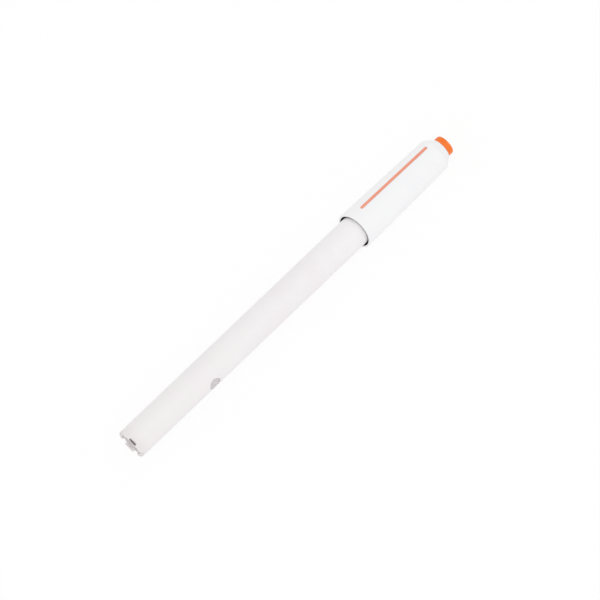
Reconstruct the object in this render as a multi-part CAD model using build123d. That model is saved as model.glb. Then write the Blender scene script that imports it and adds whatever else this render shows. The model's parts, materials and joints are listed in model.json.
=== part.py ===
from build123d import *
import math
import os

# A slim dissolved oxygen electrode, lying along X with its tip towards -X.
# Lengths are in millimetres. A station is a distance from the tip along the axis.
# An angle is a turn about the axis, from straight up towards -Y.

# Shaft and the guard at its tip
shaft_radius = 6.0
shaft_length = 128.4
grip_station = 60.0
guard_wall = 1.5
guard_bore_depth = 26.0
shaft_wall = 2.1
tip_round = 0.6
tip_inner_round = 0.2
crenel_count = 5
crenel_width = 3.2
crenel_depth = 0.95
crenel_corner = 0.4
crenel_angle = 11.8

# Shaft end inside the handle
socket_length = 6.4
socket_step = 0.2
recess_length = 6.0
recess_gap = 0.74
shaft_seal_width = 0.6
shaft_seal_margin = 1.6
shaft_seal_pitch = 2.8

# Handle
handle_length = 46.2
handle_rim_wall = 0.84
handle_taper = 0.88
handle_wall = 1.4
rim_slope = 11.5
rim_angle = 14.7
rim_outer_round = 0.35
rim_inner_round = 0.15
shoulder_length = 3.4
shoulder_round = 1.8
shoulder_drop = 2.57
neck_round = 0.25

# Inlaid strip
strip_gap = 6.2
strip_end_gap = 5.3
strip_width = 1.25
strip_depth = 0.35
strip_proud = 0.03
strip_angle = -22.0

# Membrane cap
cap_station = 1.3
cap_length = 10.05
cap_gap = 0.8
cap_wall = 0.7
cap_lip = 0.25
aperture_margin = 0.85
cap_round = 0.4
aperture_chamfer = 0.1
flute_count = 8
flute_radius = 0.4
flute_depth = 0.25
flute_start = 2.0
membrane_thickness = 0.12
seal_ring_length = 1.0
seal_ring_margin = 0.1
cap_seal_width = 0.9

# Sensor stem with its cathode and anode
nose_station = 4.8
nose_wall = 0.75
stem_seal_width = 0.95
stem_seal_margin = 3.0
stem_seal_pitch = 5.5
insulator_depth = 4.0
insulator_chamfer = 0.3
cathode_radius = 0.4
cathode_length = 7.5
membrane_gap = 0.1
anode_wall = 0.6
anode_front = 2.2
anode_seat = 5.2

# Temperature button in the side of the shaft
button_station = 37.8
button_angle = 76.7
button_share = 0.4125
button_flange = 0.48
button_skin = 0.48
gasket_thickness = 0.3
gasket_width = 0.85
shank_wall = 0.55
shank_tail = 0.15
nut_thickness = 0.55
nut_margin = 0.15
bead_gap = 0.2
bead_length = 1.9
bead_chamfer = 0.3

# Leads
lead_radius = 0.25
cathode_lead_radius = 0.3
lead_overlap = 3.0
thermistor_lead_spread = 0.8
thermistor_lead_gap = 0.35
lead_bend = 0.8

# Bulkhead and circuit board
bulkhead_length = 5.0
bulkhead_rib = 0.7
board_thickness = 0.8
board_slot = 1.5
board_top = -0.42
board_gap = 0.35
processor_size = (3.0, 3.0, 0.8)
amplifier_size = (2.0, 3.0, 0.7)
capacitor_size = (1.6, 0.8, 0.8)
capacitor_count = 3
capacitor_pitch = 1.6

# Connector
plug_head_length = 2.45
plug_dome = 0.6
plug_margin = 0.1
plug_round = 0.95
socket_wall = 0.95
connector_step = 1.2
connector_length = 4.8
connector_flange = 0.88
connector_seal_width = 0.6
pin_count = 5
pin_radius = 0.4
pin_circle_radius = 1.35
pin_reach = 4.7
pin_tail = 2.5
pin_chamfer = 0.2
ring_length = 1.6
ring_width = 2.05
ring_slot_width = 1.2
ring_slot_depth = 0.7
skirt_reach = 6.2
skirt_wall = 0.75
skirt_bead = 0.06
skirt_bead_station = 3.6

# Clearances
slip = 0.05
seat = 0.02

# Shaft and handle: radii from the shaft outwards, then stations
guard_bore_radius = shaft_radius - guard_wall
lead_bore_radius = shaft_radius - shaft_wall
socket_radius = shaft_radius - socket_step + slip
recess_radius = shaft_radius + recess_gap
handle_rim_radius = recess_radius + handle_rim_wall
handle_end_radius = handle_rim_radius - handle_taper
neck_radius = handle_end_radius - shoulder_drop
cavity_radius = handle_end_radius - handle_wall
shoulder_station = shaft_length - socket_length
rim_station = shoulder_station - recess_length
handle_end = rim_station + handle_length
strip_start = rim_station + strip_gap
strip_end = handle_end - strip_end_gap
shaft_seal_floor = socket_radius - shaft_seal_width - seat
shaft_seal_stations = (
    shoulder_station + shaft_seal_margin,
    shoulder_station + shaft_seal_margin + shaft_seal_pitch,
)

# Cell: radii from the guard's bore inwards, then stations
cap_radius = guard_bore_radius - cap_gap
cap_bore_radius = cap_radius - cap_wall
nose_radius = cap_bore_radius - slip
anode_radius = nose_radius - nose_wall
anode_bore_radius = anode_radius - anode_wall
insulator_radius = anode_bore_radius - 2 * slip
cap_aperture_radius = insulator_radius + aperture_margin
seal_ring_bore_radius = cap_aperture_radius + seal_ring_margin
anode_lead_offset = (anode_bore_radius + anode_radius) / 2
cap_end = cap_station + cap_length
membrane_station = cap_station + cap_lip
stem_shoulder = cap_end + cap_seal_width + 2 * slip
anode_end = nose_station + anode_seat
insulator_front = membrane_station + membrane_thickness + membrane_gap
insulator_end = stem_shoulder + insulator_depth
cathode_end = insulator_front + cathode_length
stem_seal_floor = guard_bore_radius - stem_seal_width - seat
stem_seal_stations = (
    stem_shoulder + stem_seal_margin,
    stem_shoulder + stem_seal_margin + stem_seal_pitch,
)

# Temperature button: radii, then heights above the shaft's axis
button_radius = button_share * shaft_radius
shank_radius = button_radius - gasket_width
shank_bore_radius = shank_radius - shank_wall
bead_radius = shank_bore_radius - bead_gap
nut_radius = button_radius - nut_margin
button_face = math.sqrt(shaft_radius**2 - button_radius**2)
gasket_top = button_face - button_flange
gasket_low = gasket_top - gasket_thickness
bead_top = button_face - button_skin - slip
bead_low = bead_top - bead_length
nut_top = math.sqrt(lead_bore_radius**2 - nut_radius**2) - seat
nut_low = nut_top - nut_thickness
shank_low = nut_low - shank_tail
thermistor_lead_height = nut_low - thermistor_lead_gap - lead_radius

# Connector, board and plug
connector_radius = cavity_radius - connector_step
socket_bore_radius = connector_radius - socket_wall
ring_bore_radius = cavity_radius - slip - ring_width
plug_radius = neck_radius - plug_margin
skirt_radius = socket_bore_radius - 2 * slip
socket_floor = handle_end - skirt_reach - slip
connector_end = socket_floor - seat
connector_seat = socket_floor - connector_length
flange_start = connector_seat - connector_flange
connector_seal_station = connector_seat + connector_length / 2
connector_seal_floor = connector_radius - connector_seal_width - seat
lead_end = shaft_length + lead_overlap
board_start = shaft_length - board_slot + seat
board_end = flange_start - pin_tail - board_gap
board_width = 2 * (lead_bore_radius - bulkhead_rib)


def x_at(station):
    """X of a station along the axis."""
    return station - grip_station


def turned(*outline):
    """A solid turned about the axis from its outline of (station, radius) points."""
    points = [(x_at(station), radius) for station, radius in outline]
    return revolve(make_face(Polyline(*points, close=True)), Axis.X)


def tube(start, end, inner, outer):
    """A plain ring or tube between two stations."""
    return turned((start, inner), (start, outer), (end, outer), (end, inner))


def rod(start, end, radius):
    """A plain round rod between two stations."""
    return turned((start, 0), (start, radius), (end, radius), (end, 0))


def seal_ring(station, floor_radius, width):
    """A square-cut seal ring that lies on the floor of its groove."""
    return tube(station - width / 2, station + width / 2, floor_radius, floor_radius + width)


def seal_groove(station, floor_radius, width):
    """The cutter for a seal ring's groove, open to the outside."""
    half = width / 2 + slip
    return tube(station - half, station + half, floor_radius - seat, floor_radius + 2 * width)


def turn(angle, piece):
    """Turn a piece about the axis, away from straight up."""
    return Rot(X=angle) * piece


def rims(piece, station, radius):
    """The circular edges of a turned piece at one station and radius."""
    close = 0.001
    circles = piece.edges().filter_by(GeomType.CIRCLE)
    at_station = [e for e in circles if abs(e.arc_center.X - x_at(station)) < close]
    return [e for e in at_station if abs(e.radius - radius) < close]


def upright_disc(low, high, radius):
    """A disc or post that stands on the button's own axis, between two distances from the shaft's axis."""
    return Pos(x_at(button_station), 0, low) * Cylinder(
        radius, high - low, align=(Align.CENTER, Align.CENTER, Align.MIN)
    )


def handle_radius(station):
    """Outer radius of the handle's taper."""
    share = (station - rim_station) / (handle_length - shoulder_length)
    return handle_rim_radius + (handle_end_radius - handle_rim_radius) * share


def guard_slots():
    """Cutters for the gaps in the guard's rim, each with rounded inner corners."""
    slot = Pos(x_at(crenel_depth), 0, 0) * Box(
        2 * crenel_depth,
        crenel_width,
        2 * shaft_radius,
        align=(Align.MAX, Align.CENTER, Align.MIN),
    )
    corners = slot.edges().filter_by(Axis.Z).sort_by(Axis.X)[-2:]
    slot = fillet(corners, crenel_corner)
    step = 360 / crenel_count
    return [turn(crenel_angle + step * i, slot) for i in range(crenel_count)]


def button_hole():
    """The stepped cross hole that the temperature button and its gasket sit in."""
    pocket = upright_disc(gasket_low - seat, 2 * shaft_radius, button_radius + slip)
    through = upright_disc(0, 2 * shaft_radius, shank_radius + slip)
    return turn(button_angle, pocket + through)


def shaft_tube():
    """The shaft: a tube with a slotted guard round the sensor and a turned-down end."""
    tube_body = turned(
        (0, guard_bore_radius),
        (0, shaft_radius),
        (shoulder_station - slip, shaft_radius),
        (shoulder_station - slip, shaft_radius - socket_step),
        (shaft_length, shaft_radius - socket_step),
        (shaft_length, lead_bore_radius),
        (guard_bore_depth, lead_bore_radius),
        (guard_bore_depth, guard_bore_radius),
    )
    tube_body = fillet(rims(tube_body, 0, shaft_radius), tip_round)
    tube_body = fillet(rims(tube_body, 0, guard_bore_radius), tip_inner_round)
    for cutter in guard_slots():
        tube_body -= cutter
    for station in shaft_seal_stations:
        tube_body -= seal_groove(station, shaft_seal_floor, shaft_seal_width)
    return tube_body - button_hole()


def shaft_seals():
    """Two seals between the shaft's end and the handle's socket."""
    return Compound(
        [seal_ring(s, shaft_seal_floor, shaft_seal_width) for s in shaft_seal_stations]
    )


def membrane_cap():
    """The screw-on cap: a thin-walled cup with a round window and flutes for its key."""
    cap = turned(
        (cap_station, cap_aperture_radius),
        (cap_station, cap_radius),
        (cap_end, cap_radius),
        (cap_end, cap_bore_radius),
        (membrane_station, cap_bore_radius),
        (membrane_station, cap_aperture_radius),
    )
    cap = fillet(rims(cap, cap_station, cap_radius), cap_round)
    cap = chamfer(rims(cap, cap_station, cap_aperture_radius), aperture_chamfer)
    flute_centre = cap_radius + flute_radius - flute_depth
    flute = Pos(x_at(cap_station + flute_start), 0, flute_centre) * Rot(Y=90) * Cylinder(
        flute_radius, cap_length, align=(Align.CENTER, Align.CENTER, Align.MIN)
    )
    for i in range(flute_count):
        cap -= turn(360 / flute_count * i, flute)
    return cap


def membrane():
    """The gas-permeable disc behind the cap's window."""
    return rod(membrane_station, membrane_station + membrane_thickness, cap_bore_radius - slip)


def membrane_seal():
    """The flat elastomer ring that clamps the membrane against the cap's lip."""
    start = membrane_station + membrane_thickness
    return tube(start, start + seal_ring_length, seal_ring_bore_radius, cap_bore_radius - slip)


def cap_seal():
    """The seal between the cap's open end and the stem's shoulder."""
    end = stem_shoulder - seat
    inner = nose_radius + seat
    return tube(end - cap_seal_width, end, inner, inner + cap_seal_width)


def sensor_stem():
    """The turned insert that closes the shaft, with a nose that carries the electrodes."""
    stem_radius = guard_bore_radius - slip
    stem = turned(
        (nose_station, anode_radius + slip),
        (nose_station, nose_radius),
        (stem_shoulder, nose_radius),
        (stem_shoulder, stem_radius),
        (guard_bore_depth - seat, stem_radius),
        (guard_bore_depth - seat, cathode_lead_radius + slip),
        (insulator_end + seat, cathode_lead_radius + slip),
        (insulator_end + seat, insulator_radius + slip),
        (anode_end + seat, insulator_radius + slip),
        (anode_end + seat, anode_radius + slip),
    )
    for station in stem_seal_stations:
        stem -= seal_groove(station, stem_seal_floor, stem_seal_width)
    lead_hole = rod(anode_end, guard_bore_depth, lead_radius + seat)
    return stem - Pos(0, anode_lead_offset, 0) * lead_hole


def stem_seals():
    """Two seals between the stem and the shaft's bore."""
    return Compound([seal_ring(s, stem_seal_floor, stem_seal_width) for s in stem_seal_stations])


def cathode_insulator():
    """The rod that holds the cathode against the membrane."""
    insulator = turned(
        (insulator_front, cathode_radius + seat),
        (insulator_front, insulator_radius),
        (insulator_end, insulator_radius),
        (insulator_end, cathode_lead_radius + seat),
        (cathode_end + seat, cathode_lead_radius + seat),
        (cathode_end + seat, cathode_radius + seat),
    )
    return chamfer(rims(insulator, insulator_front, insulator_radius), insulator_chamfer)


def cathode():
    """The noble metal pin whose end face works behind the membrane."""
    return rod(insulator_front, cathode_end, cathode_radius)


def anode():
    """The silver sleeve round the insulator, in the electrolyte space."""
    return tube(nose_station - anode_front, anode_end, anode_bore_radius, anode_radius)


def cathode_lead():
    """The lead that runs down the axis from the cathode to the circuit board."""
    return rod(cathode_end + seat, lead_end, cathode_lead_radius)


def anode_lead():
    """The lead from the anode's end to the circuit board."""
    return Pos(0, anode_lead_offset, 0) * rod(anode_end + seat, lead_end, lead_radius)


def temperature_button():
    """The steel button: a flat face flush with the shaft, and a hollow shank for the bead."""
    flange = upright_disc(gasket_top, button_face, button_radius)
    shank = upright_disc(shank_low, gasket_top, shank_radius)
    hollow = upright_disc(0, button_face - button_skin, shank_bore_radius)
    return turn(button_angle, flange + shank - hollow)


def button_gasket():
    """The flat gasket under the button's flange."""
    gasket = upright_disc(gasket_low, gasket_top, button_radius)
    bore = upright_disc(gasket_low, gasket_top, shank_radius + slip)
    return turn(button_angle, gasket - bore)


def button_nut():
    """The round nut that draws the button in, against the shaft's bore."""
    nut = upright_disc(nut_low, nut_top, nut_radius)
    bore = upright_disc(nut_low, nut_top, shank_radius + seat)
    return turn(button_angle, nut - bore)


def thermistor():
    """The temperature sensing bead in the button's shank."""
    bead = upright_disc(bead_low, bead_top, bead_radius)
    ends = bead.edges().filter_by(GeomType.CIRCLE)
    return turn(button_angle, chamfer(ends, bead_chamfer))


def thermistor_lead_places():
    """Places of the bead's two leads where they run along the shaft, side by side."""
    half = thermistor_lead_spread / 2
    return [Rot(X=button_angle) * Pos(0, y, thermistor_lead_height) for y in (-half, half)]


def thermistor_leads():
    """The bead's two leads, which bend from the button towards the handle."""
    start = bead_low - seat - thermistor_lead_height
    path = FilletPolyline(
        (x_at(button_station), 0, start),
        (x_at(button_station), 0, 0),
        (x_at(lead_end), 0, 0),
        radius=lead_bend,
    )
    section = Plane(origin=path @ 0, z_dir=path % 0) * Circle(lead_radius)
    lead = sweep(section, path=path)
    return Compound([place * lead for place in thermistor_lead_places()])


def board_blank(start, end, margin):
    """The circuit board's plain shape, or its slot with a margin."""
    middle = board_top - board_thickness / 2
    return Pos(x_at((start + end) / 2), 0, middle) * Box(
        end - start, board_width + 2 * margin, board_thickness + 2 * margin
    )


def lead_bulkhead():
    """The plug in the shaft's end, which guides the leads and holds the board's edge."""
    start = shaft_length - bulkhead_length
    bulkhead = rod(start, shaft_length, lead_bore_radius - slip)
    bulkhead -= rod(start, shaft_length, cathode_lead_radius + slip)
    lead_hole = rod(start, shaft_length, lead_radius + slip)
    bulkhead -= Pos(0, anode_lead_offset, 0) * lead_hole
    for place in thermistor_lead_places():
        bulkhead -= place * lead_hole
    return bulkhead - board_blank(shaft_length - board_slot, lead_end, slip)


def circuit_board():
    """The narrow board in the handle that reads the cell."""
    return board_blank(board_start, board_end, 0)


def board_chips():
    """The parts on the board, evenly spaced from the leads to its end."""
    row_half = capacitor_pitch * (capacitor_count - 1) / 2
    row = [capacitor_pitch * i - row_half for i in range(capacitor_count)]
    groups = ((capacitor_size, row), (processor_size, [0]), (amplifier_size, [0]))
    chips_length = sum(size[0] for size, places in groups)
    gap = (board_end - lead_end - chips_length) / (len(groups) + 1)
    chips = []
    start = x_at(lead_end) + gap
    for size, places in groups:
        chip = Box(*size, align=(Align.MIN, Align.CENTER, Align.MIN))
        chips += [Pos(start, y, board_top) * chip for y in places]
        start += size[0] + gap
    return Compound(chips)


def strip_prism(margin):
    """The strip's plan, a slot with round ends, drawn up through the handle's wall."""
    middle = (strip_start + strip_end) / 2
    plan = SlotOverall(strip_end - strip_start + 2 * margin, strip_width + 2 * margin)
    return Pos(x_at(middle), 0, 0) * extrude(plan, 2 * handle_rim_radius)


def handle_skin(inner_offset, outer_offset):
    """A tapered layer over the strip's length, measured from the handle's surface."""
    start = strip_start - strip_width
    end = strip_end + strip_width
    return turned(
        (start, handle_radius(start) + inner_offset),
        (start, handle_radius(start) + outer_offset),
        (end, handle_radius(end) + outer_offset),
        (end, handle_radius(end) + inner_offset),
    )


def accent_strip():
    """The coloured strip, let into the handle and following its taper."""
    return turn(strip_angle, strip_prism(0) & handle_skin(-strip_depth, strip_proud))


def handle_shell():
    """The tapered handle: an oblique rim, a rounded shoulder and a stepped bore."""
    blank_start = rim_station - handle_rim_radius
    taper_end = handle_end - shoulder_length
    shell = turned(
        (blank_start, recess_radius),
        (blank_start, handle_radius(blank_start)),
        (taper_end, handle_end_radius),
        (handle_end, neck_radius),
        (handle_end, socket_bore_radius),
        (socket_floor, socket_bore_radius),
        (socket_floor, connector_radius),
        (connector_seat, connector_radius),
        (connector_seat, cavity_radius),
        (shaft_length + seat, cavity_radius),
        (shaft_length + seat, socket_radius),
        (shoulder_station, socket_radius),
        (shoulder_station, recess_radius),
    )
    shell = fillet(rims(shell, taper_end, handle_end_radius), shoulder_round)
    shell = fillet(rims(shell, handle_end, neck_radius), neck_round)
    shell = oblique_rim(shell)
    groove = strip_prism(seat) & handle_skin(-strip_depth - seat, handle_rim_radius)
    return shell - turn(strip_angle, groove)


def oblique_rim(shell):
    """Cut the handle's mouth on a slant and round its two edges."""
    high_side = Vector(0, 0, 1).rotate(Axis.X, rim_angle)
    slope = math.tan(math.radians(rim_slope))
    normal = Vector(1, 0, 0) - high_side * slope
    rim_plane = Plane(origin=(x_at(rim_station), 0, 0), z_dir=normal)
    shell = split(shell, bisect_by=rim_plane, keep=Keep.TOP)
    for round_radius, place in ((rim_outer_round, -1), (rim_inner_round, 0)):
        mouth = shell.faces().filter_by(GeomType.PLANE).sort_by(Axis.X)[0]
        shell = fillet(mouth.edges().sort_by(SortBy.LENGTH)[place], round_radius)
    return shell


def connector_body():
    """The insulating block that carries the pins, with a flange and a seal groove."""
    body_radius = connector_radius - slip
    body = turned(
        (flange_start, 0),
        (flange_start, cavity_radius - slip),
        (connector_seat - seat, cavity_radius - slip),
        (connector_seat - seat, body_radius),
        (connector_end, body_radius),
        (connector_end, 0),
    )
    body -= seal_groove(connector_seal_station, connector_seal_floor, connector_seal_width)
    for place in pin_places():
        body -= place * rod(flange_start, connector_end, pin_radius + seat)
    return body


def connector_seal():
    """The seal between the connector and the handle's seat."""
    return seal_ring(connector_seal_station, connector_seal_floor, connector_seal_width)


def pin_places():
    """Places of the pins, evenly spread on their circle."""
    step = 360 / pin_count
    return [Rot(X=step * i) * Pos(0, 0, pin_circle_radius) for i in range(pin_count)]


def connector_pins():
    """The contact pins, with bevelled ends and tails that reach the board."""
    start = flange_start - pin_tail
    end = connector_end + pin_reach
    pin = rod(start, end, pin_radius)
    pin = chamfer(rims(pin, end, pin_radius), pin_chamfer)
    return Compound([place * pin for place in pin_places()])


def connector_ring():
    """The ring that holds the connector's flange, with two slots for its key."""
    end = flange_start - seat
    ring = tube(end - ring_length, end, ring_bore_radius, cavity_radius - slip)
    slots = Pos(x_at(end - ring_length + ring_slot_depth), 0, 0) * Box(
        2 * ring_slot_depth,
        ring_slot_width,
        4 * cavity_radius,
        align=(Align.MAX, Align.CENTER, Align.CENTER),
    )
    return ring - slots


def plug_head():
    """The plug's head: a low dome with a rounded edge."""
    start = x_at(handle_end + slip)
    edge = start + plug_head_length
    tip = edge + plug_dome
    dome_radius = (plug_radius**2 + plug_dome**2) / (2 * plug_dome)
    sides = Polyline((tip, 0), (start, 0), (start, plug_radius), (edge, plug_radius))
    dome = RadiusArc((edge, plug_radius), (tip, 0), dome_radius)
    profile = make_face(sides + dome)
    corner = profile.vertices().sort_by_distance((edge, plug_radius))[0]
    return revolve(fillet(corner, plug_round), Axis.X)


def dust_plug():
    """The push-in plug: a domed head on a hollow skirt with a retaining bead."""
    skirt_start = handle_end - skirt_reach
    skirt = tube(skirt_start, handle_end + slip, skirt_radius - skirt_wall, skirt_radius)
    bead_station = skirt_start + skirt_bead_station
    bead_half = 5 * skirt_bead
    bead = turned(
        (bead_station - bead_half, skirt_radius),
        (bead_station, skirt_radius + skirt_bead),
        (bead_station + bead_half, skirt_radius),
        (bead_station, skirt_radius - skirt_bead),
    )
    return plug_head() + skirt + bead


sub_parts = (
    shaft_tube,
    shaft_seals,
    membrane_cap,
    membrane,
    membrane_seal,
    cap_seal,
    sensor_stem,
    stem_seals,
    cathode_insulator,
    cathode,
    anode,
    cathode_lead,
    anode_lead,
    temperature_button,
    button_gasket,
    button_nut,
    thermistor,
    thermistor_leads,
    lead_bulkhead,
    circuit_board,
    board_chips,
    handle_shell,
    accent_strip,
    connector_body,
    connector_seal,
    connector_pins,
    connector_ring,
    dust_plug,
)

os.makedirs("parts", exist_ok=True)
for make in sub_parts:
    export_step(make(), f"parts/{make.__name__}.step")
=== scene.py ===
import json
import math

import bpy
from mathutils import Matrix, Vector


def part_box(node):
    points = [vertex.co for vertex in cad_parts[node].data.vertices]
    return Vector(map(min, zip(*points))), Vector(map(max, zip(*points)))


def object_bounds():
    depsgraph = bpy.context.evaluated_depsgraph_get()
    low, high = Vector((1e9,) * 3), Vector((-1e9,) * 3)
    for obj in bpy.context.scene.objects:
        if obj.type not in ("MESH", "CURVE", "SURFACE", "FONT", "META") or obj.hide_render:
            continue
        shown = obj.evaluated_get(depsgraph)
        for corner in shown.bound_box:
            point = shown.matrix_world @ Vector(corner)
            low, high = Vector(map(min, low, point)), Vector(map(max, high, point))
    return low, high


# A dissolved oxygen electrode, lying along X with its tip towards -X. Lengths are in metres.

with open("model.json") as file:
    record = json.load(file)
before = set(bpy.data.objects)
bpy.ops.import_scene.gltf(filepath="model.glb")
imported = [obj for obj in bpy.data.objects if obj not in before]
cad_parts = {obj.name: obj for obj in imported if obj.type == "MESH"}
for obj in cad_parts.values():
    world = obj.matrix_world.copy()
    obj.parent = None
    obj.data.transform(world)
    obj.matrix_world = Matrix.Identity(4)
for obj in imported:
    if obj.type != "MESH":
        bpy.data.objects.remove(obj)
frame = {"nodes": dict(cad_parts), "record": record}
cad_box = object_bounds()

mm = 0.001

# Camera, as the photograph was taken: angles are in degrees
axis_turn = 45.6
camera_elevation = 69.5
camera_distance = 1.521
view_width = 0.2195
sensor_width = 36.0
aim_station = 0.0231
aim_aside = 0.00444
axis_slope = 43.7

# Studio
floor_size = 6.0
floor_tone = 0.95
floor_light_share = 0.1
world_strength = 0.92
key_strength = 2.3
key_size = 0.9
key_place = (-0.3, -0.46, 1.07)

# Places on the electrode that its looks depend on, and sizes of marks.
# Angles are in degrees about the axis, from straight up towards -Y.
button_angle = 76.7
rim_angle = 14.7
rim_slope = 11.5
rim_middle = 56.0 * mm
rim_shade_start = 0.1 * mm
rim_shade_end = 1.6 * mm
recess_radius = 6.74 * mm
recess_depth = 6.0 * mm
cap_bore_radius = 3.0 * mm
thread_start = -54.0 * mm
thread_end = -49.6 * mm
thread_pitch = 0.5 * mm
thread_depth = 0.12 * mm
ring_thread_radius = 5.0 * mm
board_trace_pitch = 0.635 * mm
board_hole_pitch = 1.27 * mm
board_trace_length = 2.3 * mm
board_pad_radius = 0.34 * mm
board_end_band = 2.4 * mm
board_border = 0.05 * mm
chip_pin_pitch = 0.5 * mm
chip_pin_height = 0.22 * mm
capacitor_length = 1.6 * mm
capacitor_end = 0.35 * mm
capacitor_gap = 0.4 * mm
lead_bare_length = 1.3 * mm
tip_shade_length = 5.0 * mm
gate_mark_radius = 0.45 * mm
membrane_clamp_start = 2.2 * mm
membrane_clamp_end = 2.5 * mm
metal_mark_size = 0.06 * mm
metal_edge = 0.08 * mm


def node_box(name):
    """Lowest corner, highest corner and middle of a node."""
    low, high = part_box(name)
    return low, high, (low + high) / 2


def grey(level):
    """An even grey of one linear level."""
    return (level, level, level, 1.0)


def srgb(red, green, blue):
    """A linear colour from 8-bit values as a picture shows them."""

    def linear(value):
        share = value / 255
        if share <= 0.04045:
            return share / 12.92
        return ((share + 0.055) / 1.055) ** 2.4

    return (linear(red), linear(green), linear(blue), 1.0)


def across(angle):
    """The direction from the axis at an angle about it."""
    turn = math.radians(angle)
    return Vector((0, -math.sin(turn), math.cos(turn)))


class Look:
    """A material under construction: its nodes are added and joined by short calls."""

    def __init__(self, name):
        self.material = bpy.data.materials.new(name)
        self.material.use_nodes = True
        self.tree = self.material.node_tree
        self.shader = self.tree.nodes["Principled BSDF"]
        self.position = self.add("ShaderNodeTexCoord").outputs["Object"]
        split = self.add("ShaderNodeSeparateXYZ")
        self.put(split.inputs[0], self.position)
        self.x, self.y, self.z = split.outputs

    def add(self, kind, **settings):
        """A new node with its settings."""
        node = self.tree.nodes.new(kind)
        for key, value in settings.items():
            setattr(node, key, value)
        return node

    def put(self, socket, value):
        """Join an output to a socket, or set the socket's own value."""
        if isinstance(value, bpy.types.NodeSocket):
            self.tree.links.new(value, socket)
        else:
            socket.default_value = value

    def set(self, **values):
        """Set or join the shader's sockets, named with underscores for spaces."""
        for key, value in values.items():
            self.put(self.shader.inputs[key.replace("_", " ")], value)

    def math(self, operation, *values):
        """A calculation on one to three values."""
        node = self.add("ShaderNodeMath", operation=operation)
        for socket, value in zip(node.inputs, values):
            self.put(socket, value)
        return node.outputs[0]

    def product(self, *values):
        """All the values multiplied together."""
        result = values[0]
        for value in values[1:]:
            result = self.math("MULTIPLY", result, value)
        return result

    def length(self, first, second):
        """The length of the line with two given legs."""
        squares = [self.math("MULTIPLY", value, value) for value in (first, second)]
        return self.math("SQRT", self.math("ADD", *squares))

    def along(self, direction, start=0.0):
        """How far the surface lies in a direction, past a start."""
        node = self.add("ShaderNodeVectorMath", operation="DOT_PRODUCT")
        self.put(node.inputs[0], self.position)
        node.inputs[1].default_value = tuple(direction)
        return self.math("SUBTRACT", node.outputs["Value"], start)

    def radius(self):
        """The distance from the electrode's axis."""
        return self.length(self.y, self.z)

    def stretch(self, scale):
        """The object's own coordinates, scaled along each axis."""
        node = self.add("ShaderNodeMapping")
        self.put(node.inputs["Vector"], self.position)
        node.inputs["Scale"].default_value = scale
        return node.outputs[0]

    def noise(self, size, detail=3.0, roughness=0.55, vector=None, distortion=0.0):
        """Noise whose blobs are about the given size, in metres where the vector is the position."""
        node = self.add("ShaderNodeTexNoise")
        self.put(node.inputs["Vector"], vector or self.position)
        node.inputs["Scale"].default_value = 1 / size
        node.inputs["Detail"].default_value = detail
        node.inputs["Roughness"].default_value = roughness
        node.inputs["Distortion"].default_value = distortion
        return node.outputs["Fac"]

    def marks(self, value, size, detail=2.0):
        """Noise along one value alone, such as tool marks that run round."""
        node = self.add("ShaderNodeTexNoise", noise_dimensions="1D")
        self.put(node.inputs["W"], value)
        node.inputs["Scale"].default_value = 1 / size
        node.inputs["Detail"].default_value = detail
        return node.outputs["Fac"]

    def cells(self, size):
        """Distances in a pattern of cells of the given size."""
        node = self.add("ShaderNodeTexVoronoi")
        self.put(node.inputs["Vector"], self.position)
        node.inputs["Scale"].default_value = 1 / size
        return node.outputs["Distance"]

    def spread(self, value, low, high, start=0.0, end=1.0):
        """Map a value from the range start..end to low..high, without going past them."""
        node = self.add("ShaderNodeMapRange")
        for key, number in (("From Min", start), ("From Max", end), ("To Min", low), ("To Max", high)):
            node.inputs[key].default_value = number
        self.put(node.inputs["Value"], value)
        return node.outputs["Result"]

    def blend(self, share, first, second):
        """A colour between two, by share."""
        node = self.add("ShaderNodeMix", data_type="RGBA")
        sockets = {socket.identifier: socket for socket in (*node.inputs, *node.outputs)}
        self.put(sockets["Factor_Float"], share)
        self.put(sockets["A_Color"], first)
        self.put(sockets["B_Color"], second)
        return sockets["Result_Color"]

    def soft_edges(self, radius):
        """Normals that round the edges off."""
        node = self.add("ShaderNodeBevel", samples=4)
        node.inputs["Radius"].default_value = radius
        return node.outputs[0]

    def edge_share(self, radius):
        """Where the surface lies on an edge, from 0 to 1."""
        dot = self.add("ShaderNodeVectorMath", operation="DOT_PRODUCT")
        self.put(dot.inputs[0], self.soft_edges(radius))
        self.put(dot.inputs[1], self.add("ShaderNodeNewGeometry").outputs["Normal"])
        return self.spread(dot.outputs["Value"], 1, 0, 0.75, 0.98)

    def bump(self, height, depth, before=None):
        """Relief of the given depth, in metres, on top of relief made before."""
        node = self.add("ShaderNodeBump")
        node.inputs["Distance"].default_value = depth
        self.put(node.inputs["Height"], height)
        if before:
            self.put(node.inputs["Normal"], before)
        return node.outputs["Normal"]

    def stripes(self, value, pitch, share):
        """Stripes across a value: 1 on the stripe and 0 between, with soft borders."""
        wave = self.math("PINGPONG", self.math("DIVIDE", value, pitch / 2), 1.0)
        return self.spread(wave, 1, 0, share * 0.8, share * 1.2)

    def helix(self, pitch):
        """The height of a thread about the electrode's axis."""
        turn = self.math("DIVIDE", self.math("ARCTAN2", self.y, self.z), 2 * math.pi)
        path = self.math("ADD", self.math("DIVIDE", self.x, pitch), turn)
        return self.math("PINGPONG", path, 0.5)

    def between(self, value, low, high, soft):
        """1 where a value lies between two others, with soft borders."""
        rise = self.spread(value, 0, 1, low - soft, low)
        fall = self.spread(value, 1, 0, high, high + soft)
        return self.product(rise, fall)


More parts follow.
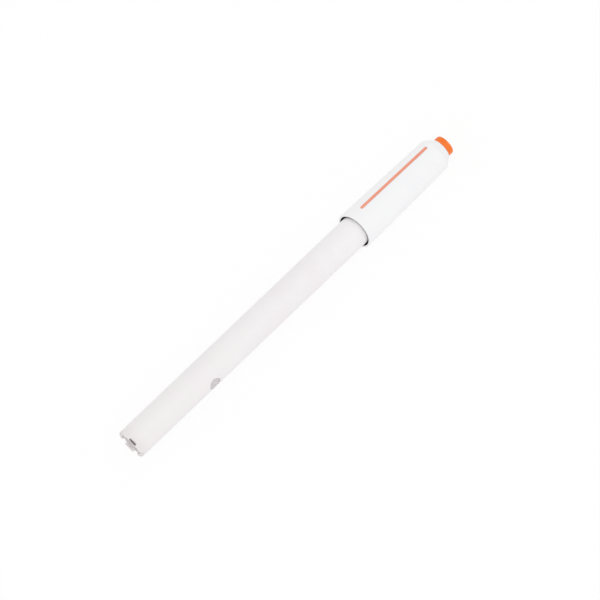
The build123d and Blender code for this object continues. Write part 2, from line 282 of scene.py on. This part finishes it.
def moulded(name, light, dark, roughness, grain, grain_depth, specular=0.5, edge=0.0):
    """Moulded plastic: clouded colour, an eroded grain and a faint swirl in the gloss."""
    look = Look(name)
    cloud = look.spread(look.noise(9 * mm, 4), 0, 1, 0.3, 0.7)
    base = look.soft_edges(edge) if edge else None
    look.set(
        Base_Color=look.blend(cloud, light, dark),
        Roughness=look.spread(look.noise(4 * mm, 5), roughness - 0.06, roughness + 0.06, 0.3, 0.7),
        Specular_IOR_Level=specular,
        Normal=look.bump(look.noise(grain, 2), grain_depth, base),
    )
    return look


def past_rim(look):
    """How far the surface lies inside the handle's slanted mouth, along the axis."""
    slope = math.tan(math.radians(rim_slope))
    return look.along(Vector((1, 0, 0)) - across(rim_angle) * slope, rim_middle)


def shaft_white():
    """Drawn tube: satin, with faint lines along it, painted shade in blotches on its tip, and painted shade
    on its end inside the handle.
    """
    look = Look("shaft_plastic")
    low, high, _ = node_box("shaft_tube")
    lengthwise = look.spread(look.x, 0, 1, low.x, high.x)
    tone = look.blend(lengthwise, srgb(235, 232, 232), srgb(240, 238, 239))
    cloud = look.spread(look.noise(10 * mm, 4), 0, 0.6, 0.35, 0.7)
    clouded = look.blend(cloud, tone, srgb(236, 230, 232))
    # Painted shade: the first few millimetres of the tip are darkened in blotches.
    tip_shade = look.product(
        look.spread(look.x, 0.55, 0, low.x, low.x + tip_shade_length),
        look.spread(look.noise(2.2 * mm, 4), 0.35, 1, 0.35, 0.65),
    )
    tip_shaded = look.blend(tip_shade, clouded, srgb(218, 211, 211))
    specks = look.product(
        look.spread(look.cells(3.1 * mm), 1, 0, 0.015, 0.035),
        look.spread(look.noise(14 * mm, 2), 0, 0.6, 0.5, 0.6),
    )
    specked = look.blend(specks, tip_shaded, srgb(188, 182, 178))
    # Painted shade: the shaft is darkened where it runs into the handle's mouth.
    shade = look.spread(past_rim(look), 0, 1, rim_shade_start, rim_shade_end)
    lines = look.noise(1.0, 4, 0.6, look.stretch((30, 2600, 2600)))
    scuffs = look.spread(look.noise(1.0, 5, 0.7, look.stretch((160, 900, 900))), 0, 0.12, 0.56, 0.72)
    hairlines = look.product(
        look.spread(look.marks(look.x, 0.09 * mm), 0, 1, 0.62, 0.8),
        look.spread(look.noise(6 * mm, 3), 0, 1, 0.5, 0.62),
    )
    relief = look.bump(lines, 0.012 * mm, look.soft_edges(0.14 * mm))
    relief = look.bump(hairlines, -0.008 * mm, relief)
    look.set(
        Base_Color=look.blend(shade, specked, srgb(62, 60, 60)),
        Roughness=look.math("ADD", look.spread(lines, 0.34, 0.46, 0.3, 0.7), scuffs),
        Specular_IOR_Level=0.42,
        Normal=look.bump(look.noise(0.16 * mm, 2), 0.004 * mm, relief),
    )
    return look


def handle_white():
    """Moulded handle: glossier than the shaft, with a fine grain and painted shade on the wall of its mouth
    round the shaft.
    """
    look = Look("handle_plastic")
    cloud = look.spread(look.noise(14 * mm, 4), 0, 0.5, 0.35, 0.7)
    tone = look.blend(cloud, srgb(242, 242, 243), srgb(237, 237, 239))
    # Painted shade: the mouth's wall round the shaft and the step inside it are darkened.
    wall = look.spread(look.radius(), 1, 0, recess_radius + 0.04 * mm, recess_radius + 0.2 * mm)
    inside = look.between(past_rim(look), 0.3 * mm, recess_depth + 2 * mm, 0.3 * mm)
    swirl = look.noise(1.0, 4, 0.6, look.stretch((120, 420, 420)), 0.6)
    wear = look.product(look.edge_share(0.3 * mm), look.noise(1.5 * mm, 3))
    worn = look.blend(wear, tone, srgb(228, 228, 230))
    relief = look.bump(swirl, 0.015 * mm, look.soft_edges(0.12 * mm))
    look.set(
        Base_Color=look.blend(look.product(wall, inside), worn, srgb(48, 47, 48)),
        Roughness=look.spread(swirl, 0.26, 0.4, 0.3, 0.7),
        Specular_IOR_Level=0.45,
        Normal=look.bump(look.noise(0.22 * mm, 2), 0.006 * mm, relief),
    )
    return look


def strip_orange():
    """Inlaid strip: satin plastic with drawn lines, deeper in colour along its borders."""
    look = Look("strip_plastic")
    lines = look.noise(1.0, 3, 0.55, look.stretch((90, 2400, 2400)))
    border = look.edge_share(0.25 * mm)
    cloud = look.spread(look.noise(5 * mm, 3), 0, 1, 0.35, 0.65)
    body = look.blend(cloud, srgb(240, 158, 132), srgb(236, 148, 120))
    look.set(
        Base_Color=look.blend(border, body, srgb(226, 124, 92)),
        Roughness=look.spread(lines, 0.34, 0.48, 0.3, 0.7),
        Specular_IOR_Level=0.45,
        Normal=look.bump(lines, 0.01 * mm, look.soft_edges(0.06 * mm)),
    )
    return look


def plug_orange():
    """Soft orange plug: clouded, with painted shade along its rim, and a gate mark on the dome."""
    look = Look("plug_plastic")
    low, high, _ = node_box("dust_plug")
    cloud = look.spread(look.noise(2.6 * mm, 4), 0, 1, 0.35, 0.65)
    tone = look.blend(cloud, srgb(250, 126, 34), srgb(240, 112, 18))
    # Painted shade: the plug is darkened along its rim and edges.
    rim = look.product(look.edge_share(0.8 * mm), look.spread(look.noise(1.2 * mm, 3), 0.4, 1, 0.35, 0.65))
    dust = look.spread(look.noise(0.5 * mm, 4), 0, 0.12, 0.55, 0.75)
    gate = look.between(look.radius(), gate_mark_radius * 0.6, gate_mark_radius, 0.08 * mm)
    on_dome = look.spread(look.x, 0, 1, high.x - 0.3 * mm, high.x - 0.2 * mm)
    turned = look.marks(look.radius(), 0.14 * mm)
    relief = look.bump(turned, 0.01 * mm, look.soft_edges(0.15 * mm))
    relief = look.bump(look.product(gate, on_dome), 0.04 * mm, relief)
    look.set(
        Base_Color=look.blend(dust, look.blend(rim, tone, srgb(222, 108, 38)), srgb(244, 176, 128)),
        Roughness=look.spread(look.noise(1.6 * mm, 4), 0.36, 0.52, 0.3, 0.7),
        Specular_IOR_Level=0.42,
        Subsurface_Weight=0.12,
        Subsurface_Radius=(1.0, 0.3, 0.1),
        Subsurface_Scale=0.6 * mm,
        Normal=look.bump(look.noise(0.2 * mm, 3), 0.01 * mm, relief),
    )
    return look


def cap_white():
    """Membrane cap: satin plastic with fine rings on its face and a thread in its bore."""
    look = Look("cap_plastic")
    cloud = look.spread(look.noise(3 * mm, 4), 0, 1, 0.35, 0.65)
    bore = look.spread(look.radius(), 1, 0, cap_bore_radius + 0.05 * mm, cap_bore_radius + 0.12 * mm)
    threaded = look.product(bore, look.between(look.x, thread_start, thread_end, 0.2 * mm))
    rings = look.marks(look.radius(), 0.07 * mm)
    relief = look.bump(rings, 0.008 * mm, look.soft_edges(0.1 * mm))
    relief = look.bump(look.product(look.helix(thread_pitch), threaded), thread_depth, relief)
    look.set(
        Base_Color=look.blend(cloud, srgb(232, 228, 228), srgb(222, 217, 217)),
        Roughness=look.spread(look.noise(1.5 * mm, 4), 0.34, 0.46, 0.3, 0.7),
        Specular_IOR_Level=0.42,
        Normal=look.bump(look.noise(0.12 * mm, 2), 0.005 * mm, relief),
    )
    return look


def membrane_film():
    """Thin dark film: matt, with faint wrinkles that run outwards and a dull ring where it is clamped."""
    look = Look("membrane_film")
    turn = look.math("ARCTAN2", look.y, look.z)
    wrinkles = look.marks(turn, 0.16)
    clamp = look.spread(look.radius(), 0, 1, membrane_clamp_start, membrane_clamp_end)
    cloud = look.noise(0.8 * mm, 4)
    tone = look.blend(cloud, srgb(116, 109, 111), srgb(100, 94, 97))
    look.set(
        Base_Color=look.blend(clamp, tone, srgb(128, 122, 124)),
        Roughness=look.spread(cloud, 0.45, 0.62, 0.3, 0.7),
        Specular_IOR_Level=0.2,
        Normal=look.bump(wrinkles, 0.012 * mm),
    )
    return look


def rubber(name, light, dark):
    """Soft rubber: matt and dusty, with a pitted skin and a greasy sheen in places."""
    look = Look(name)
    dust = look.spread(look.cells(0.35 * mm), 1, 0, 0.03, 0.16)
    cloud = look.noise(2 * mm, 4)
    grease = look.spread(look.noise(3 * mm, 3), 0, 0.35, 0.5, 0.65)
    look.set(
        Base_Color=look.blend(look.product(dust, cloud), dark, light),
        Roughness=look.math("SUBTRACT", look.spread(cloud, 0.62, 0.82, 0.3, 0.7), grease),
        Specular_IOR_Level=0.3,
        Normal=look.bump(look.noise(0.12 * mm, 3), 0.01 * mm, look.soft_edges(0.08 * mm)),
    )
    return look


def turned_metal(name, light, dark, roughness):
    """Metal turned about the electrode's axis: tool marks, dull patches and bright edges."""
    look = Look(name)
    marks = look.marks(look.math("ADD", look.x, look.radius()), metal_mark_size)
    patch = look.spread(look.noise(1.4 * mm, 5), 0, 1, 0.42, 0.68)
    tone = look.blend(patch, light, dark)
    polished = look.spread(marks, roughness, roughness + 0.12, 0.3, 0.7)
    look.set(
        Base_Color=look.blend(look.edge_share(metal_edge), tone, light),
        Metallic=1.0,
        Roughness=look.math("ADD", polished, look.spread(patch, 0, 0.1)),
        Normal=look.bump(marks, 0.006 * mm, look.soft_edges(metal_edge)),
    )
    return look


def button_steel():
    """Steel button: fine rings turned about the button's own middle, and a bright edge."""
    look = Look("button_steel")
    _, _, middle = node_box("temperature_button")
    aside = across(button_angle - 90)
    from_middle = look.length(look.math("SUBTRACT", look.x, middle.x), look.along(aside))
    rings = look.marks(from_middle, 0.06 * mm)
    broad = look.marks(from_middle, 0.5 * mm, 1.0)
    patch = look.spread(look.noise(1.3 * mm, 4), 0, 1, 0.4, 0.65)
    tone = look.blend(patch, srgb(226, 221, 222), srgb(204, 199, 201))
    look.set(
        Base_Color=look.blend(look.edge_share(0.12 * mm), tone, srgb(236, 232, 232)),
        Metallic=1.0,
        Roughness=look.math("ADD", look.spread(rings, 0.36, 0.5, 0.3, 0.7), look.spread(broad, 0, 0.08)),
        Normal=look.bump(rings, 0.008 * mm, look.soft_edges(0.08 * mm)),
    )
    return look


def threaded_metal(name, light, dark, roughness, thread_radius):
    """Turned metal with a thread on its outside."""
    look = turned_metal(name, light, dark, roughness)
    outside = look.spread(look.radius(), 0, 1, thread_radius, thread_radius + 0.08 * mm)
    before = look.shader.inputs["Normal"].links[0].from_socket
    look.set(Normal=look.bump(look.product(look.helix(thread_pitch), outside), thread_depth, before))
    return look


def stem_grey():
    """Turned stem: grey plastic with tool marks, and a thread on its nose for the cap."""
    look = Look("stem_plastic")
    rings = look.marks(look.math("ADD", look.x, look.radius()), 0.08 * mm)
    cloud = look.spread(look.noise(4 * mm, 4), 0, 1, 0.35, 0.65)
    nose = look.between(look.x, thread_start, thread_end, 0.2 * mm)
    skin = look.spread(look.radius(), 0, 1, cap_bore_radius - 0.15 * mm, cap_bore_radius - 0.08 * mm)
    relief = look.bump(rings, 0.01 * mm, look.soft_edges(0.08 * mm))
    look.set(
        Base_Color=look.blend(cloud, srgb(160, 162, 165), srgb(146, 148, 152)),
        Roughness=look.spread(rings, 0.36, 0.5, 0.3, 0.7),
        Specular_IOR_Level=0.45,
        Normal=look.bump(look.product(look.helix(thread_pitch), nose, skin), thread_depth, relief),
    )
    return look


def insulator_resin():
    """Cast resin rod: pale and glossy, with a ground front face."""
    look = Look("insulator_resin")
    low, _, _ = node_box("cathode_insulator")
    front = look.spread(look.x, 1, 0, low.x + 0.02 * mm, low.x + 0.06 * mm)
    rings = look.marks(look.radius(), 0.05 * mm)
    swirl = look.noise(1.2 * mm, 4, 0.6, None, 0.8)
    look.set(
        Base_Color=look.blend(look.spread(swirl, 0, 1, 0.35, 0.65), srgb(196, 204, 200), srgb(176, 188, 184)),
        Roughness=look.math("ADD", look.spread(swirl, 0.1, 0.2, 0.3, 0.7), look.product(front, 0.25)),
        Specular_IOR_Level=0.55,
        Normal=look.bump(look.product(rings, front), 0.006 * mm, look.soft_edges(0.1 * mm)),
    )
    return look


def silver_anode():
    """Silver sleeve: bright where it was drawn, with brownish chloride in clouds."""
    look = Look("silver_metal")
    lines = look.noise(1.0, 3, 0.6, look.stretch((200, 3600, 3600)))
    chloride = look.spread(look.noise(1.1 * mm, 5), 0, 1, 0.46, 0.62)
    look.set(
        Base_Color=look.blend(chloride, srgb(224, 222, 218), srgb(132, 116, 106)),
        Metallic=look.spread(chloride, 1, 0.25),
        Roughness=look.spread(chloride, 0.24, 0.62),
        Normal=look.bump(look.math("ADD", lines, chloride), 0.01 * mm, look.soft_edges(0.06 * mm)),
    )
    return look


def wire(name, light, dark):
    """Insulated lead: drawn plastic with a soft shine, stripped and tinned at the board's end."""
    look = Look(name)
    end = max(node_box(node)[1].x for node in ("cathode_lead", "anode_lead", "thermistor_leads"))
    lines = look.noise(1.0, 3, 0.55, look.stretch((60, 3600, 3600)))
    bare = look.spread(look.x, 0, 1, end - lead_bare_length, end - lead_bare_length + 0.05 * mm)
    insulation = look.blend(look.spread(lines, 0, 1, 0.35, 0.65), light, dark)
    look.set(
        Base_Color=look.blend(bare, insulation, srgb(214, 212, 206)),
        Metallic=bare,
        Roughness=look.spread(lines, 0.3, 0.45, 0.3, 0.7),
        Normal=look.bump(lines, 0.006 * mm),
    )
    return look


def board_mask():
    """Circuit board: green mask over raised traces, tinned pads at its ends, and pale cut sides."""
    look = Look("board_mask")
    low, high, _ = node_box("circuit_board")
    row = look.math("FLOOR", look.math("DIVIDE", look.y, board_trace_pitch))
    column = look.math("FLOOR", look.math("DIVIDE", look.x, board_trace_length))
    pick = look.add("ShaderNodeTexWhiteNoise", noise_dimensions="2D")
    pair = look.add("ShaderNodeCombineXYZ")
    look.put(pair.inputs[0], row)
    look.put(pair.inputs[1], column)
    look.put(pick.inputs["Vector"], pair.outputs[0])
    laid = look.spread(pick.outputs["Value"], 0, 1, 0.35, 0.36)
    trace = look.product(look.stripes(look.y, board_trace_pitch, 0.35), laid)
    from_hole = look.length(
        look.math("PINGPONG", look.x, board_hole_pitch / 2),
        look.math("PINGPONG", look.y, board_hole_pitch / 2),
    )
    first_end = low.x + board_end_band
    last_start = high.x - board_end_band
    first_band = look.spread(look.x, 1, 0, first_end, first_end + board_border)
    last_band = look.spread(look.x, 0, 1, last_start, last_start + board_border)
    ends = look.math("MAXIMUM", first_band, last_band)
    pad = look.product(look.spread(from_hole, 1, 0, board_pad_radius, board_pad_radius + 0.04 * mm), ends)
    geometry = look.add("ShaderNodeNewGeometry")
    facing_up = look.add("ShaderNodeSeparateXYZ")
    look.put(facing_up.inputs[0], geometry.outputs["Normal"])
    flat = look.spread(look.math("ABSOLUTE", facing_up.outputs[2]), 0, 1, 0.4, 0.6)
    mask = look.blend(trace, srgb(18, 82, 50), srgb(34, 120, 72))
    padded = look.blend(pad, mask, srgb(206, 204, 196))
    weave = look.noise(1.0, 2, 0.5, look.stretch((900, 900, 5200)))
    side = look.blend(weave, srgb(178, 168, 112), srgb(146, 136, 86))
    look.set(
        Base_Color=look.blend(flat, side, padded),
        Metallic=look.product(pad, flat),
        Roughness=look.spread(look.math("ADD", trace, pad), 0.24, 0.36, 0.0, 1.0),
        Normal=look.bump(look.math("ADD", trace, pad), 0.03 * mm, look.soft_edges(0.05 * mm)),
    )
    return look


def chip_compound():
    """Parts on the board: dark moulded chips with tinned contacts, and pale capacitors with metal ends."""
    look = Look("chip_compound")
    low, high, _ = node_box("board_chips")
    past = look.math("SUBTRACT", look.x, low.x)
    chips_start = capacitor_length + capacitor_gap
    is_capacitor = look.spread(past, 1, 0, chips_start, chips_start + 0.1 * mm)
    from_end = look.math("MINIMUM", past, look.math("SUBTRACT", capacitor_length, past))
    at_end = look.spread(from_end, 1, 0, capacitor_end, capacitor_end + board_border)
    cap_end = look.product(at_end, is_capacitor)
    contact_row = look.spread(look.z, 1, 0, low.z + chip_pin_height, low.z + chip_pin_height + 0.03 * mm)
    contact = look.math(
        "MAXIMUM", look.stripes(look.x, chip_pin_pitch, 0.5), look.stripes(look.y, chip_pin_pitch, 0.5)
    )
    chip_contact = look.product(contact_row, contact, look.math("SUBTRACT", 1.0, is_capacitor))
    metal = look.math("MAXIMUM", cap_end, chip_contact)
    grain = look.noise(0.07 * mm, 3)
    body = look.blend(is_capacitor, srgb(42, 42, 44), srgb(186, 158, 118))
    speckled = look.blend(look.spread(grain, 0, 0.35, 0.55, 0.75), body, srgb(92, 92, 94))
    look.set(
        Base_Color=look.blend(metal, speckled, srgb(212, 210, 204)),
        Metallic=metal,
        Roughness=look.spread(grain, 0.4, 0.6, 0.3, 0.7),
        Normal=look.bump(grain, 0.006 * mm, look.soft_edges(0.06 * mm)),
    )
    return look


looks = {
    "shaft_white": shaft_white(),
    "handle_white": handle_white(),
    "strip_orange": strip_orange(),
    "plug_orange": plug_orange(),
    "cap_white": cap_white(),
    "membrane_dark": membrane_film(),
    "button_steel": button_steel(),
    "stem_grey": stem_grey(),
    "insulator_glass": insulator_resin(),
    "silver": silver_anode(),
    "board_green": board_mask(),
    "chip_black": chip_compound(),
    "seal_black": rubber("seal_rubber", srgb(70, 70, 70), srgb(28, 28, 29)),
    "gold": turned_metal("gold_metal", srgb(238, 200, 118), srgb(214, 168, 84), 0.18),
    "nut_brass": turned_metal("nut_brass", srgb(214, 184, 112), srgb(176, 146, 84), 0.28),
    "ring_metal": threaded_metal(
        "ring_nickel", srgb(204, 200, 190), srgb(170, 164, 152), 0.24, ring_thread_radius
    ),
    "bead_epoxy": moulded(
        "bead_epoxy", srgb(42, 60, 52), srgb(30, 42, 38), 0.2, 0.3 * mm, 0.008 * mm
    ),
    "connector_black": moulded(
        "connector_plastic", srgb(40, 40, 42), srgb(29, 29, 31), 0.45, 0.1 * mm,
        0.008 * mm, 0.5, 0.1 * mm
    ),
    "lead_white": wire("lead_white", srgb(236, 234, 228), srgb(222, 219, 212)),
    "lead_red": wire("lead_red", srgb(196, 40, 32), srgb(168, 30, 26)),
    "lead_blue": wire("lead_blue", srgb(38, 76, 160), srgb(28, 58, 130)),
}


def dress_nodes():
    """Give each node the look of its material slot."""
    for part in frame["record"]["subparts"]:
        materials = frame["nodes"][part["node"]].data.materials
        for index in range(len(materials)):
            materials[index] = looks[part["material_slot"]].material


def link(thing):
    """Put an object into the scene."""
    bpy.context.scene.collection.objects.link(thing)
    return thing


def studio_floor():
    """A pale floor that reads as white, and keeps the object's soft shadow."""
    half = floor_size / 2
    level = cad_box[0].z
    corners = [(x, y, level) for x, y in ((-half, -half), (half, -half), (half, half), (-half, half))]
    mesh = bpy.data.meshes.new("studio_floor")
    mesh.from_pydata(corners, [], [(0, 1, 2, 3)])
    floor = link(bpy.data.objects.new("studio_floor", mesh))
    material = bpy.data.materials.new("studio_floor")
    material.use_nodes = True
    tree = material.node_tree
    surface = tree.nodes["Principled BSDF"]
    surface.inputs["Base Color"].default_value = grey(floor_tone)
    surface.inputs["Roughness"].default_value = 0.9
    glow = tree.nodes.new("ShaderNodeEmission")
    glow.inputs["Color"].default_value = grey(1.0)
    path = tree.nodes.new("ShaderNodeLightPath")
    share = tree.nodes.new("ShaderNodeMath")
    share.operation = "MULTIPLY"
    tree.links.new(path.outputs["Is Camera Ray"], share.inputs[0])
    share.inputs[1].default_value = 1 - floor_light_share
    mix = tree.nodes.new("ShaderNodeMixShader")
    tree.links.new(share.outputs[0], mix.inputs[0])
    tree.links.new(surface.outputs[0], mix.inputs[1])
    tree.links.new(glow.outputs[0], mix.inputs[2])
    tree.links.new(mix.outputs[0], tree.nodes["Material Output"].inputs["Surface"])
    mesh.materials.append(material)


def studio_world():
    """Even white surroundings: dimmer as light than as a background."""
    world = bpy.data.worlds.new("studio")
    bpy.context.scene.world = world
    world.use_nodes = True
    tree = world.node_tree
    background = tree.nodes["Background"]
    background.inputs["Color"].default_value = grey(1.0)
    path = tree.nodes.new("ShaderNodeLightPath")
    strength = tree.nodes.new("ShaderNodeMapRange")
    strength.inputs["To Min"].default_value = world_strength
    strength.inputs["To Max"].default_value = 1.0
    tree.links.new(path.outputs["Is Camera Ray"], strength.inputs["Value"])
    tree.links.new(strength.outputs["Result"], background.inputs["Strength"])


def facing(target, place):
    """The turn that points a lamp or camera at a place from another."""
    return (target - place).to_track_quat("-Z", "Y").to_euler()


def area_lamp(name, place, size, power):
    """A soft square lamp that faces the origin, which lies in the electrode."""
    data = bpy.data.lights.new(name, "AREA")
    data.size = size
    data.energy = power
    lamp = link(bpy.data.objects.new(name, data))
    lamp.location = place
    lamp.rotation_euler = facing(Vector((0, 0, 0)), place)


def studio_camera():
    """The camera, looking steeply down across the electrode as in the photograph."""
    turn = math.radians(axis_turn)
    rise = math.radians(camera_elevation)
    slope = math.radians(axis_slope)
    right = Vector((math.cos(turn), -math.sin(turn), 0))
    level = Vector((math.sin(turn), math.cos(turn), 0))
    ahead = level * math.cos(rise) - Vector((0, 0, math.sin(rise)))
    up = right.cross(ahead)
    aside = right * math.sin(slope) - up * math.cos(slope)
    target = Vector((aim_station, 0, 0)) + aside * aim_aside
    data = bpy.data.cameras.new("camera")
    data.sensor_width = sensor_width
    data.lens = sensor_width * camera_distance / view_width
    data.clip_start = 0.01
    data.clip_end = 20
    camera = link(bpy.data.objects.new("camera", data))
    camera.location = target - ahead * camera_distance
    camera.rotation_euler = facing(target, camera.location)
    bpy.context.scene.camera = camera


dress_nodes()
studio_floor()
studio_world()
area_lamp("key", Vector(key_place), key_size, key_strength)
studio_camera()
bpy.context.scene.view_settings.view_transform = "Standard"
